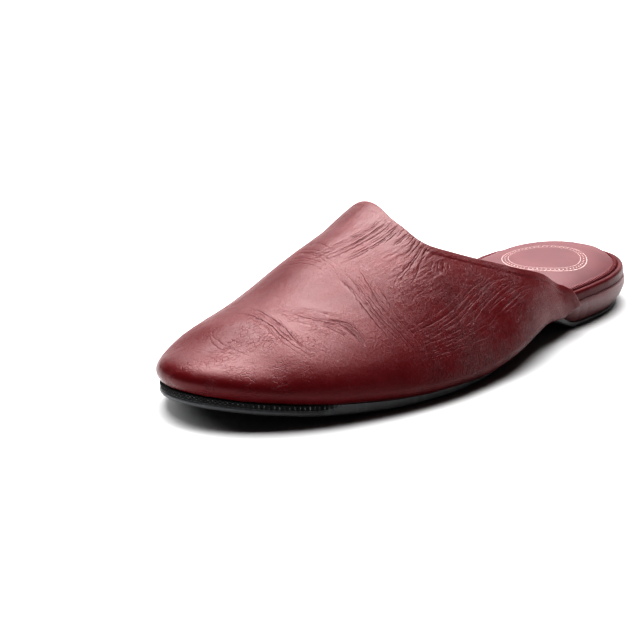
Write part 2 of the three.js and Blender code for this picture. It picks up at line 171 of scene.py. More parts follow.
def offsetEdge(angle, side, outset):  # the plan edge moved outwards along its own normal
    angle = np.asarray(angle, float)
    step = 0.004
    run = planEdge(np.minimum(angle + step, np.pi), side) - planEdge(np.maximum(angle - step, 0), side)
    tip = (angle < step) | (angle > np.pi - step)
    run[..., 0] = np.where(tip, side * np.sign(np.pi / 2 - angle), run[..., 0])
    run[..., 1] = np.where(tip, 0, run[..., 1])
    run /= np.linalg.norm(run, axis=-1, keepdims=True)
    normal = side * np.stack([-run[..., 1], run[..., 0]], -1)
    return planEdge(angle, side) + normal * np.asarray(outset)[..., None]


def soleBottom(along):
    toe = np.clip((along - last["springStart"]) / (1 - last["springStart"]), 0, 1)
    arch = ease(along, last["breastBack"], last["breastFront"])
    arch = arch * (1 - ease(along, last["breastFront"] + 0.02, last["archEnd"]))
    return last["toeSpring"] * toe**2 + last["archRise"] * arch


def soleEdge(along):
    return column(soleRows, "thickness", along) * making["sole"]


def soleTop(along):
    return soleBottom(along) + soleEdge(along)


def featherHeight(along):  # lower edge of the upper, which climbs along the wing behind the waist
    climb = 0.038 * last["instepRise"] * np.clip((last["breastFront"] - along) / 0.05, 0, 1)
    return soleTop(np.maximum(along, last["breastFront"])) + making["gap"] + climb


def sockBase(along):
    seat = last["seatHeight"] - making["beadHeight"] + making["gap"]
    front = soleTop(np.maximum(along, last["breastFront"])) + 2 * making["gap"] + making["wall"]
    return mixed(seat, front, ease(along, last["breastBack"] - 0.02, last["heelFront"] + 0.02))


def tuck(name, along):
    return np.maximum(0, column(tuckRows, name, along)) * last["instepRise"]


def sideName(side):
    return "lateral" if side > 0 else "medial"


def marginWidth(along):
    return making["margin"] * ease(along, last["breastFront"] + 0.01, last["heelFront"])


def upperPoint(angle, around):
    angle, around = np.broadcast_arrays(angle, around)
    along = alongOf(angle)
    lateral = offsetEdge(angle, 1, tuck("lateral", along))
    medial = offsetEdge(angle, -1, tuck("medial", along))
    half, middle = (lateral - medial) / 2, (lateral + medial) / 2
    over = np.maximum(0, np.sin(around * np.pi))
    crown = column(sectionRows, "crown", along) * last["instepRise"]
    crown = crown * roundEnd(1 - along, last["toeBoxRound"])
    lean = column(sectionRows, "lean", along) * last["ballWidth"] * roundEnd(1 - along, last["toeRound"])
    plan = middle + half * np.cos(around * np.pi)[..., None]
    widest = featherHeight(along) + tuck("height", along)
    rise = widest + crown * over ** column(sectionRows, "power", along)
    return np.stack([plan[..., 0] + lean * over**2, plan[..., 1], rise], -1)


def tuckPoint(angle, side, turn, margin):  # band tucked under the widest line, and lasting margin
    angle, turn, margin = np.broadcast_arrays(angle, turn, margin)
    along = alongOf(angle)
    inset = tuck("inset", along) * (1 - np.cos(turn)) + margin
    plan = offsetEdge(angle, side, tuck(sideName(side), along) - inset)
    place = np.maximum(alongAt(plan[..., 1]), last["breastFront"])
    ground = np.where(along > last["breastFront"], featherHeight(place), featherHeight(along))
    return np.stack([plan[..., 0], plan[..., 1], ground + tuck("height", along) * (1 - np.sin(turn))], -1)


def toplineAngle(around):
    return angleOf(column(toplineRows, "start", around))


# Meshes


def stripFaces(index, closed=False):  # quads over a grid of corner numbers
    a = index
    if closed:
        a = np.concatenate([a, a[:, :1]], 1)
    quads = np.stack([a[:-1, :-1], a[:-1, 1:], a[1:, 1:], a[1:, :-1]], -1)
    return quads.reshape(-1, 4).tolist()


def cornerNormals(points, faces):  # normals of a quad skin, shared where corners lie together
    _, same = np.unique(np.round(points / sameReach).astype(np.int64), axis=0, return_inverse=True)
    same = same.reshape(-1)
    quads = np.array(faces)
    a, b, c, d = (points[quads[:, k]] for k in range(4))
    across = np.cross(c - a, d - b)
    sums = np.zeros((same.max() + 1, 3))
    for k in range(4):
        np.add.at(sums, same[quads[:, k]], across)
    sums /= np.maximum(np.linalg.norm(sums, axis=1, keepdims=True), 1e-12)
    return sums[same]


def makePiece(name, points, faces, finishes, stands, finishOf=None, marks=None):
    mesh = bpy.data.meshes.new(name)
    mesh.from_pydata((points + standing).tolist(), [], faces)
    for finish in finishes:
        mesh.materials.append(finish)
    if finishOf is not None:
        mesh.polygons.foreach_set("material_index", finishOf)
    for label, values in (marks or {}).items():
        kind, part = ("FLOAT_VECTOR", "vector") if values.ndim == 2 else ("FLOAT", "value")
        layer = mesh.attributes.new(label, kind, "POINT")
        layer.data.foreach_set(part, values.astype(np.float32).ravel())
    shape = bmesh.new()
    shape.from_mesh(mesh)
    bmesh.ops.remove_doubles(shape, verts=shape.verts, dist=weldReach)
    bmesh.ops.recalc_face_normals(shape, faces=shape.faces)
    if shape.calc_volume(signed=True) < 0:
        bmesh.ops.reverse_faces(shape, faces=shape.faces)
    for face in shape.faces:
        face.smooth = True
    shape.to_mesh(mesh)
    shape.free()
    piece = bpy.data.objects.new(name, mesh)
    bpy.context.scene.collection.objects.link(piece)
    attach(piece, "root")
    if stands:
        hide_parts(stands)
    triangles = sum(len(face.vertices) - 2 for face in mesh.polygons)
    print(f"{name}: {triangles} triangles")
    return piece


# Skins are worked out about the last, then moved to where the solids stand.
solidLow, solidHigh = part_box("outsole")
footAngles = np.linspace(0, np.pi, 400)
footEdge = np.concatenate([
    offsetEdge(footAngles, side, -column(soleRows, "inset", alongOf(footAngles)) * making["sole"])
    for side in (1, -1)
])
footMiddle = (footEdge.min(0) + footEdge.max(0)) / 2
standing = np.array([
    (solidLow[0] + solidHigh[0]) / 2 - footMiddle[0], (solidLow[1] + solidHigh[1]) / 2 - footMiddle[1], 0,
])
print("last stands at", standing.round(5))


# Upper

upperForm = dict(
    columns=310, bandColumns=14, marginColumns=3, rows=238, liningRows=29, edgeBack=0.5 * mm,
    closer=1.2, closerFrom=0.08, closerTo=0.56, closerSoft=0.05,
    foldWidth=3.6 * mm, foldSoft=0.6 * mm, foldStep=0.14 * mm, foldGroove=0.06 * mm,
    grooveWidth=0.5 * mm, rimSides=7, rimBulge=0.8 * mm,
    # swells in the hide: size, height and seed
    swells=[(34 * mm, 0.12 * mm, 3), (9 * mm, 0.02 * mm, 5)],
)
hideForm = dict(start=0.26, stations=90, spots=120)

# Creases worn in by walking. Each path is a list of (along, around); depth and width in mm.
# At least some on the lateral side and the crown began as points picked by eye in the photo, which a
# script turned into shares. The medial ones are guessed. Beside is how many finer lines follow a crease.
creases = [
    dict(path=[(0.853, 0.60), (0.855, 0.545), (0.859, 0.495), (0.865, 0.435), (0.874, 0.379),
               (0.878, 0.315), (0.876, 0.25), (0.874, 0.20)],
         depth=0.38, width=0.9, beside=4),
    dict(path=[(0.838, 0.58), (0.841, 0.53), (0.849, 0.475), (0.857, 0.411), (0.866, 0.353),
               (0.870, 0.301), (0.868, 0.25)],
         depth=0.32, width=0.9, beside=3),
    dict(path=[(0.849, 0.50), (0.853, 0.45), (0.861, 0.385), (0.868, 0.33)],
         depth=0.2, width=0.8, beside=1),
    dict(path=[(0.829, 0.43), (0.826, 0.395), (0.816, 0.349), (0.801, 0.307), (0.797, 0.271),
               (0.798, 0.232), (0.802, 0.19)],
         depth=0.36, width=0.9, beside=4),
    dict(path=[(0.842, 0.41), (0.832, 0.36), (0.818, 0.315), (0.812, 0.275), (0.812, 0.235)],
         depth=0.22, width=0.8, beside=2),
    dict(path=[(0.814, 0.44), (0.806, 0.39), (0.797, 0.345), (0.787, 0.31)],
         depth=0.16, width=0.8, beside=2),
]
# Fans of creases that run side by side, spread from the first path to the last.
fans = [
    # folds across the ball, from the lateral side up over the crown
    dict(first=[(0.742, 0.44), (0.742, 0.389), (0.753, 0.323), (0.758, 0.257), (0.757, 0.188),
                (0.752, 0.13)],
         last=[(0.700, 0.40), (0.712, 0.337), (0.718, 0.279), (0.716, 0.218), (0.706, 0.160),
               (0.694, 0.10)],
         lines=9, depth=0.36, width=0.8, wander=0.006),
    # lines that run back along the lateral side from the crossing at the ball
    dict(first=[(0.738, 0.190), (0.690, 0.200), (0.630, 0.212), (0.570, 0.222), (0.520, 0.222)],
         last=[(0.738, 0.120), (0.689, 0.110), (0.630, 0.104), (0.570, 0.100), (0.520, 0.098)],
         lines=11, depth=0.23, width=0.8, wander=0.009),
    # gathers that run forward from the topline over the instep
    dict(first=[(0.596, 0.450), (0.628, 0.465), (0.670, 0.487), (0.705, 0.515), (0.735, 0.56)],
         last=[(0.575, 0.318), (0.608, 0.312), (0.640, 0.305), (0.668, 0.292), (0.690, 0.27)],
         lines=24, depth=0.36, width=0.62, wander=0.009, short=46),
    # short pleats below the topline on the lateral side
    dict(first=[(0.596, 0.297), (0.613, 0.285), (0.627, 0.265)],
         last=[(0.560, 0.285), (0.575, 0.268), (0.590, 0.245)],
         lines=6, depth=0.26, width=0.7, wander=0.004),
    # slanting folds behind the ball, up to the wing
    dict(first=[(0.385, 0.148), (0.430, 0.148), (0.475, 0.142), (0.533, 0.132), (0.595, 0.108)],
         last=[(0.470, 0.215), (0.510, 0.218), (0.550, 0.212), (0.600, 0.200), (0.650, 0.180)],
         lines=9, depth=0.24, width=0.75, wander=0.008),
    # faint lines across the instep
    dict(first=[(0.735, 0.66), (0.733, 0.60), (0.733, 0.527), (0.742, 0.46), (0.755, 0.40)],
         last=[(0.690, 0.66), (0.688, 0.60), (0.690, 0.54), (0.705, 0.46), (0.722, 0.40)],
         lines=7, depth=0.2, width=0.8, wander=0.008),
    # faint lines on the toe
    dict(first=[(0.940, 0.640), (0.945, 0.593), (0.956, 0.477), (0.958, 0.395), (0.953, 0.335)],
         last=[(0.905, 0.600), (0.915, 0.540), (0.925, 0.460), (0.928, 0.380), (0.925, 0.310)],
         lines=5, depth=0.10, width=0.6, wander=0.012),
    # folds over the ball on the medial side
    dict(first=[(0.860, 0.62), (0.872, 0.70), (0.876, 0.78), (0.870, 0.85)],
         last=[(0.790, 0.60), (0.800, 0.69), (0.806, 0.78), (0.800, 0.88)],
         lines=6, depth=0.26, width=0.75, wander=0.01),
    dict(first=[(0.745, 0.60), (0.757, 0.70), (0.760, 0.80), (0.752, 0.88)],
         last=[(0.690, 0.60), (0.698, 0.70), (0.700, 0.80), (0.690, 0.89)],
         lines=6, depth=0.28, width=0.75, wander=0.01),
    # gathers below the topline on the medial side
    dict(first=[(0.590, 0.560), (0.622, 0.575), (0.660, 0.60), (0.69, 0.63)],
         last=[(0.520, 0.700), (0.560, 0.715), (0.600, 0.735), (0.64, 0.76)],
         lines=9, depth=0.26, width=0.62, wander=0.006),
]
creaseForm = dict(
    press=0.30, ridge=0.22, step=0.3 * mm, cutReach=1.5 * mm, layers=4, farAway=3.0,
    apart=(0.003, 0.008), waver=0.0012, fanSteps=60, seed=7,
)


def smoothPath(path, steps=24):  # curve through the points of a path
    path = np.array(path, float)
    ends = np.concatenate([2 * path[:1] - path[1:2], path, 2 * path[-1:] - path[-2:-1]])
    t = np.linspace(0, 1, steps, endpoint=False)[:, None]
    parts = []
    for k in range(len(path) - 1):
        a, b, c, d = ends[k:k + 4]
        parts.append(0.5 * (2 * b + (c - a) * t + (2 * a - 5 * b + 4 * c - d) * t**2
                            + (3 * b - a - 3 * c + d) * t**3))
    return np.concatenate(parts + [path[-1:]])


def besidePaths(crease, chance):  # a crease, then the finer ones that follow it
    path = smoothPath(crease["path"])
    yield dict(crease, path=path)
    share = np.linspace(0, 1, len(path))
    for _ in range(crease["beside"]):
        shift = chance.uniform(*creaseForm["apart"]) * chance.choice([-1, 1])
        bend = creaseForm["waver"] * np.sin(share * chance.uniform(4, 9) + chance.uniform(0, 6))
        start, end = (int(chance.uniform(*part) * len(path)) for part in ((0, 0.35), (0.65, 1)))
        beside = path + np.stack([shift + bend, 2 * bend], -1)
        yield dict(path=beside[start:end], depth=crease["depth"] * chance.uniform(0.4, 0.75),
                   width=crease["width"])


def fanPaths(fan, chance):  # the lines of a fan, each with its own start, end and waver
    steps = creaseForm["fanSteps"]
    share = np.linspace(0, 1, steps)
    first, second = (
        np.stack([np.interp(share, np.linspace(0, 1, len(p)), p[:, k]) for k in (0, 1)], -1)
        for p in (smoothPath(fan["first"]), smoothPath(fan["last"]))
    )
    for k in range(fan["lines"]):
        place = (k + chance.uniform(-0.25, 0.25)) / max(1, fan["lines"] - 1)
        path = mixed(first, second, place)
        waver = chance.uniform(-1, 1, 4)
        bend = sum(waver[n] * np.sin((n + 1) * 2.2 * share + waver[3 - n] * 3) for n in range(4)) / 2
        path = path + fan["wander"] * bend[:, None] * np.array([0.6, 0.5])
        start = int(chance.uniform(0, 12))
        end = steps - int(chance.uniform(0, fan.get("short", 18)))
        yield dict(path=path[start:end], depth=fan["depth"] * chance.uniform(0.55, 1.1),
                   width=fan["width"] * chance.uniform(0.8, 1.15))


def pressCrease(points, normals, crease, low, cuts):
    # adds one soft trough with ridges beside it, and leaves its signed distance and strength in cuts
    path = crease["path"]
    line = upperPoint(angleOf(path[:, 0]), path[:, 1])
    walked = walkedAlong(line)
    even = np.arange(0, walked[-1], creaseForm["step"])
    line = np.stack([np.interp(even, walked, line[:, k]) for k in range(3)], -1)
    width, depth = crease["width"] * mm, crease["depth"] * creaseForm["press"] * mm
    reach = 4 * width
    near = np.where(((points > line.min(0) - reach) & (points < line.max(0) + reach)).all(1))[0]
    for part in np.array_split(near, 1 + len(near) // 3000):
        gaps = points[part][:, None] - line[None]
        apart = (gaps**2).sum(-1)
        nearest = apart.argmin(1)
        distance = np.sqrt(apart[np.arange(len(part)), nearest])
        along = nearest / max(1, len(line) - 1)
        taper = np.clip(np.sin(np.pi * np.clip(along, 0, 1)), 0, 1) ** 0.6
        trough = np.exp(-((distance / width) ** 2))
        ridge = np.exp(-(((distance - 1.9 * width) / (0.9 * width)) ** 2))
        low[part] += depth * taper * (creaseForm["ridge"] * ridge - trough)
        run = np.gradient(line, axis=0)[nearest]
        aside = np.cross(run, normals[part])
        sign = np.sign((gaps[np.arange(len(part)), nearest] * aside).sum(1))
        weight = (crease["depth"] / 0.4) * taper * np.exp(-((distance / creaseForm["cutReach"]) ** 2))
        better = weight > cuts[part, 1]
        cuts[part[better], 0] = (sign * distance / mm)[better]
        cuts[part[better], 1] = weight[better]


def softHills(places, size, seed):  # smooth random relief, about -1 to 1
    chance = np.random.default_rng(seed)
    total = np.zeros(len(places))
    for _ in range(14):
        turn = chance.uniform(0, 2 * np.pi)
        wave = chance.uniform(0.7, 1.6) * 2 * np.pi / size
        total += np.sin(wave * (places[:, 0] * math.cos(turn) + places[:, 1] * math.sin(turn))
                        + chance.uniform(0, 2 * np.pi))
    return total / math.sqrt(14)


def pressCreases(points, normals):  # relief of all creases, and layers of marks for their fine cut lines
    relief = np.zeros(len(points))
    cuts = np.zeros((creaseForm["layers"], len(points), 3))
    cuts[:, :, 0] = creaseForm["farAway"]
    chance = np.random.default_rng(creaseForm["seed"])
    lines = [line for crease in creases for line in besidePaths(crease, chance)]
    lines += [line for fan in fans for line in fanPaths(fan, chance)]
    for number, crease in enumerate(lines):
        pressCrease(points, normals, crease, relief, cuts[number % creaseForm["layers"]])
    print(len(lines), "creases pressed")
    return relief, cuts


def topline(around):  # edge of the upper before it is folded
    return upperPoint(toplineAngle(around), around)


def crowdedAround():  # columns round the upper, closer together on the lateral side and the crown
    form = upperForm
    even = np.linspace(0, 1, 1000)
    rise, fall = (
        ease(even, form[end] - form["closerSoft"], form[end] + form["closerSoft"])
        for end in ("closerFrom", "closerTo")
    )
    crowding = 1 + form["closer"] * rise * (1 - fall)
    crowding = np.concatenate([[0], (crowding[1:] + crowding[:-1]).cumsum()])
    return np.interp(np.linspace(0, crowding[-1], form["columns"]), crowding, even)


def edgeAngles(around):
    # where each column starts: a little way in from the topline, further where that crosses at a slant
    nearby = np.clip(around + 0.002, 0, 1)
    here, aside = topline(around), topline(nearby)
    across = upperPoint(toplineAngle(around), nearby)
    slant = np.linalg.norm(aside - here, axis=1) / np.maximum(np.linalg.norm(across - here, axis=1), 1e-9)
    slant[-1] = slant[-2]
    start = toplineAngle(around)
    return start + upperForm["edgeBack"] * np.clip(slant, 1, 4) * 2 / (last["length"] * np.sin(start))


def upperGrid(around):  # outer face in columns, from the lateral margin over the crown to the medial one
    form = upperForm
    start = edgeAngles(around)
    angles = start[:, None] + (np.pi - start)[:, None] * np.linspace(0, 1, form["rows"])[None, :]
    turns = np.linspace(0, np.pi / 2, form["bandColumns"] + 1)[1:]
    shares = np.linspace(0, 1, form["marginColumns"] + 1)[1:]
    sides = []
    for side, edge in ((1, angles[0]), (-1, angles[-1])):
        band = tuckPoint(edge[None, :], side, turns[:, None], 0)
        width = marginWidth(alongOf(edge))
        margin = tuckPoint(edge[None, :], side, np.pi / 2, shares[:, None] * width[None, :])
        sides.append(np.concatenate([band, margin]))
    return np.concatenate([sides[0][::-1], upperPoint(angles, around[:, None]), sides[1]])


def sampled(table, row, place):  # value of a table between its rows and columns
    low, left = (np.minimum(part.astype(int), size - 2) for part, size in zip((row, place), table.shape))
    s, p = row - low, place - left
    return (table[low, left] * (1 - s) * (1 - p) + table[low + 1, left] * s * (1 - p)
            + table[low, left + 1] * (1 - s) * p + table[low + 1, left + 1] * s * p)


def hideCoordinates(grid, around, below):
    # metres along the foot, and metres round from the crown, below 0 on the lateral side
    count, rows = grid.shape[:2]
    begin, stationCount, spotCount = hideForm["start"], hideForm["stations"], hideForm["spots"]
    stations = np.linspace(begin, 1, stationCount)
    sections = upperPoint(angleOf(stations)[:, None], np.linspace(0, 1, spotCount)[None, :])
    walked = np.linalg.norm(np.diff(sections, axis=1), axis=2).cumsum(1)
    walked = np.concatenate([np.zeros((stationCount, 1)), walked], 1)
    along = alongAt(grid[:, :, 1].ravel())
    station = np.clip((along - begin) / (1 - begin) * (stationCount - 1), 0, stationCount - 1)
    spot = np.repeat(np.concatenate([np.zeros(below), around, np.ones(below)]), rows) * (spotCount - 1)
    arc = sampled(walked, station, spot) - np.interp(along, stations, walked[:, -1]) / 2
    bandRun = np.zeros((count, rows))
    for columns, step in ((np.arange(below)[::-1], 1), (np.arange(count - below, count), -1)):
        total = np.zeros(rows)
        for k in columns:
            total = total + np.linalg.norm(grid[k] - grid[k + step], axis=-1)
            bandRun[k] = -step * total
    return np.stack([along * last["length"], arc + bandRun.ravel(), np.zeros(count * rows)], -1)


def distanceFromTopline(points, rowShare):  # measured in the rows near the edge, 1 metre in the others
    edge = topline(np.linspace(0, 1, 900))
    distance = np.full(len(points), 1.0)
    close = np.where(rowShare < 0.3)[0]
    for part in np.array_split(close, 1 + len(close) // 4000):
        gaps = ((points[part][:, None] - edge[None]) ** 2).sum(-1)
        distance[part] = np.sqrt(gaps.min(1))
    return distance


def turnedRim(around, outer, normals, below):  # rounds the edge from the outer face over to the lining
    form = upperForm
    away = np.cross(np.gradient(topline(around), axis=0), normals[below:-below, 0])
    away /= np.linalg.norm(away, axis=1, keepdims=True)
    inward = outer[below:-below, 3] - outer[below:-below, 0]
    away *= np.where((away * inward).sum(1) > 0, -1, 1)[:, None]
    away = np.concatenate([np.repeat(away[:1], below, 0), away, np.repeat(away[-1:], below, 0)])
    thick = making["wall"] + form["foldStep"]
    rims = []
    for k in range(1, form["rimSides"]):
        turn = np.pi * k / form["rimSides"]
        rims.append(outer[:, 0] - normals[:, 0] * thick * (1 - math.cos(turn)) / 2
                    + away * form["rimBulge"] * math.sin(turn))
    return np.stack(rims, 1)


def makeUpper(leather, lining):
    form = upperForm
    around = crowdedAround()
    grid = upperGrid(around)
    count, rows = grid.shape[:2]
    below = form["bandColumns"] + form["marginColumns"]
    index = np.arange(count * rows).reshape(count, rows)
    faces = stripFaces(index)
    flat = grid.reshape(-1, 3)
    normals = cornerNormals(flat, faces)
    if normals.reshape(grid.shape)[count // 2, rows // 3, 2] < 0:
        normals = -normals
    hide = hideCoordinates(grid, around, below)
    relief, cuts = pressCreases(flat, normals)
    rowShare = np.tile(np.linspace(0, 1, rows), count)
    for size, height, seed in form["swells"]:
        relief += softHills(hide, size, seed) * height
    relief *= ease(rowShare, 0.999, 0.93)

    # folded topline: a proud band with a shallow groove beside it
    pastFold = distanceFromTopline(flat, rowShare) - form["foldWidth"]
    fold = 1 - ease(pastFold, -form["foldSoft"], form["foldSoft"])
    groove = np.exp(-(((pastFold - form["grooveWidth"]) / form["grooveWidth"]) ** 2))
    relief = relief * (1 - 0.5 * fold) + form["foldStep"] * fold - form["foldGroove"] * groove
    outer = (flat + normals * relief[:, None]).reshape(grid.shape)
    normals = normals.reshape(grid.shape)
    rims = turnedRim(around, outer, normals, below)

    # lining with fewer rows, joined to the outer face by faces of many corners
    kept = np.unique(np.round(np.linspace(0, rows - 1, form["liningRows"])).astype(int))
    inner = (grid - normals * making["wall"])[:, kept]
    rimIndex = index.size + np.arange(rims[:, :, 0].size).reshape(count, -1)
    innerIndex = rimIndex[-1, -1] + 1 + np.arange(inner[:, :, 0].size).reshape(count, -1)
    faces += stripFaces(np.concatenate([index[:, :1], rimIndex, innerIndex[:, :1]], 1))
    for k in (0, count - 1):
        for n in range(len(kept) - 1):
            outerRun = index[k, kept[n]:kept[n + 1] + 1].tolist()
            faces.append(outerRun + innerIndex[k, [n + 1, n]].tolist())
    innerFaces = stripFaces(innerIndex)
    finishOf = [0] * len(faces) + [1] * len(innerFaces)
    points = np.concatenate([part.reshape(-1, 3) for part in (outer, rims, inner)])
    hide = hide.reshape(grid.shape)
    hides = (hide, np.repeat(hide[:, :1], rims.shape[1], 1), hide[:, kept])
    marks = dict(hide=np.concatenate([part.reshape(-1, 3) for part in hides]))
    for k, cut in enumerate(cuts):
        marks[f"cut{k}"] = np.concatenate([cut, np.zeros((len(points) - len(cut), 3))])
    makePiece("upperLeather", points, faces + innerFaces, [leather, lining], "upper",
              finishOf, marks)


# Sole, heel, sock and piping


def loft(rings, crossSteps, crown=None, fullness=2):  # closed skin over rings that have two sides
    rows, stations = rings.shape[:2]
    index = np.arange(rows * stations * 2).reshape(rows, stations, 2)
    faces = stripFaces(index[:, :, 0]) + stripFaces(index[:, ::-1, 1])
    for ends in (index[:, -1], index[:, 0]):
        faces += stripFaces(ends)
    points = [rings.reshape(-1, 3)]
    made = rows * stations * 2
    for ring, steps, lift in ((0, 1, None), (rows - 1, crossSteps, crown)):
        shares = np.linspace(0, 1, steps + 1)[1:-1]
        lateral, medial = rings[ring, :, 0], rings[ring, :, 1]
        width = np.clip(np.linalg.norm(lateral - medial, axis=1) / (last["ballWidth"] * 0.6), 0, 1)
        lines = [index[ring, :, 0]]
        for v in shares:
            line = mixed(lateral, medial, v)
            if lift:
                bow = 1 - abs(2 * v - 1) ** fullness
                line = line + np.outer(lift(alongAt(line[:, 1])) * width * bow, [0, 0, 1])
            points.append(line)
            lines.append(made + np.arange(stations))
            made += stations
        lines.append(index[ring, :, 1])
        faces += stripFaces(np.stack(lines))
    return np.concatenate(points), faces


def ringRows(angles, rows):  # rings from (outset of along and side, height of along) pairs
    rings = []
    for outsetOf, heightOf in rows:
        pair = []
        for side in (1, -1):
            plan = offsetEdge(angles, side, outsetOf(alongOf(angles), side))
            pair.append(np.concatenate([plan, heightOf(alongAt(plan[:, 1]))[:, None]], 1))
        rings.append(np.stack(pair, 1))
    return np.stack(rings)


outsoleForm = dict(
    stations=150, perRib=8, roundRows=7, bandRows=4, flangeRows=9, roundTop=0.3, bandTop=0.94,
    bevel=0.55 * mm, flangeEase=0.05, ribShow=1.5, knurlStart=0.955, knurlEnd=0.985, knurlTurns=3,
)


def evenAlongEdge(start, step):  # angles at equal steps along the lateral edge, to the tip of the toe
    fine = np.linspace(angleOf(start), np.pi, 4000)
    walked = walkedAlong(planEdge(fine, 1))
    count = int(round(walked[-1] / step))
    return np.interp(np.linspace(0, walked[-1], count + 1), walked, fine)


def makeOutsole(rubber):
    form = outsoleForm
    plain = np.linspace(0, angleOf(last["flangeStart"]), form["stations"])[:-1]
    ribbed = evenAlongEdge(last["flangeStart"], making["ribPitch"] / form["perRib"])
    angles = np.concatenate([plain, ribbed])
    ribTurn = np.concatenate([np.zeros(len(plain)), np.arange(len(ribbed)) * 2 * np.pi / form["perRib"]])
    ribTurn -= ribTurn[-1]

    def inset(along):
        return column(soleRows, "inset", along) * making["sole"]

    def flange(along):
        return ease(along, last["flangeStart"], last["flangeStart"] + form["flangeEase"])

    def flangeFoot(place):  # where the flange begins, as a share of the edge's height
        return 1 - making["flange"] * flange(place)

    def level(shareAt):  # height at a share of the edge
        return lambda place: soleBottom(place) + soleEdge(place) * shareAt(place)

    def groove(along, rise):  # depth between upright ribs, crossed to a knurl round the toe
        upright = 0.5 + 0.5 * np.cos(ribTurn)
        diamond = 0.5 + 0.5 * np.cos(ribTurn) * np.cos(rise * form["knurlTurns"] * np.pi)
        knurled = ease(along, form["knurlStart"], form["knurlEnd"])
        relief = mixed(upright, diamond, knurled) * np.sin(np.pi * (0.12 + 0.76 * rise)) ** 0.7
        return (1 - relief) * flange(along)

    def ribbing(along, side, rise):
        return -inset(along) - making["ribDepth"] * form["ribShow"] * groove(along, rise)

    def bevelled(along, side, rise):
        return -inset(along) - form["bevel"] * rise**2 * flange(along)

    rows = []
    for turn in np.linspace(0, np.pi / 2, form["roundRows"]):
        back = making["soleRound"] * (1 - math.sin(turn))
        share = form["roundTop"] * (1 - math.cos(turn))
        rows.append((lambda along, side, back=back: -inset(along) - back,
                     level(lambda place, share=share: share)))
    for t in np.linspace(0, 1, form["bandRows"] + 1)[1:]:
        rows.append((partial(bevelled, rise=t), level(
            lambda place, t=t: mixed(form["roundTop"], flangeFoot(place), t * form["bandTop"]))))
    flangeRises = np.linspace(0, 1, form["flangeRows"])
    for t in flangeRises:
        rows.append((partial(ribbing, rise=t), level(lambda place, t=t: mixed(flangeFoot(place), 1, t))))
    rings = ringRows(angles, rows)
    points, faces = loft(rings, 1)
    along = alongOf(angles)
    flanged, grooved = np.zeros(rings.shape[:3]), np.zeros(rings.shape[:3])
    for row, t in enumerate(flangeRises, len(rows) - len(flangeRises)):
        flanged[row] = flange(along)[:, None]
        grooved[row] = groove(along, t)[:, None]
    marks = dict(flanged=flanged.ravel(), grooved=grooved.ravel())
    makePiece("outsoleRubber", points, faces, [rubber], "outsole", marks=marks)


heelForm = dict(
    stations=150, rows=16,
    # side profile: shares of the height, then shares of heelTaper and heelBulge there
    profile=dict(along=[0, 0.08, 0.4, 0.78, 0.94, 1], taper=[1, 1, 0.42, 0, 0, 0],
                 bulge=[0, 0.3, 1.3, 1.2, 0.5, 0.1]),
    # pleats in the cover: place along, width and share of the depth
    pleats=[(0.268, 0.011, 0.9), (0.246, 0.012, 0.6), (0.222, 0.010, 0.45), (0.292, 0.009, 0.7)],
    pleatDepth=0.55 * mm, pleatSlant=0.016,
)


def makeHeel(cover):
    form = heelForm
    angles = np.linspace(0, angleOf(last["heelFront"]), form["stations"])
    profile = {name: np.array(values) for name, values in form["profile"].items()}
    profile["taper"] = making["heelTaper"] * profile["taper"]
    profile["taper"][0] += making["bottomInset"]
    profile["bulge"] = making["heelBulge"] * profile["bulge"]

    def room(along, side):
        free = tuck(sideName(side), along) - making["wall"] - making["gap"] - tuck("inset", along)
        return np.where(along > last["breastFront"], np.minimum(0, free - marginWidth(along)), 0)

    def outset(along, side, taper, bulge, lift):
        pleated = sum(
            depth * np.exp(-(((along - place - form["pleatSlant"] * (lift - 0.5)) / (width * 0.42)) ** 2))
            for place, width, depth in form["pleats"]
        )
        pleated = pleated * form["pleatDepth"] * math.sin(np.pi * min(1, 0.25 + lift * 0.8))
        free = 1 - ease(along, last["breastBack"], last["heelFront"])
        return room(along, side) - taper * free + bulge - pleated * (along < last["breastFront"])

    def height(place, lift):
        return mixed(soleTop(place) + making["gap"], sockBase(place), lift)

    rows = []
    for t in np.linspace(0, 1, form["rows"]):
        lift = mixed(t, ease(t, 0, 1), 0.5)
        taper, bulge = (float(column(profile, name, lift)) for name in ("taper", "bulge"))
        rows.append((partial(outset, taper=taper, bulge=bulge, lift=lift), partial(height, lift=lift)))
    points, faces = loft(ringRows(angles, rows), 1)
    makePiece("heelCover", points, faces, [cover], "heel")


sockForm = dict(
    stations=230, across=64, sideRows=14, edgeRound=2.6 * mm, seatRound=1.1 * mm, inset=0.15 * mm,
    fullness=3,
)


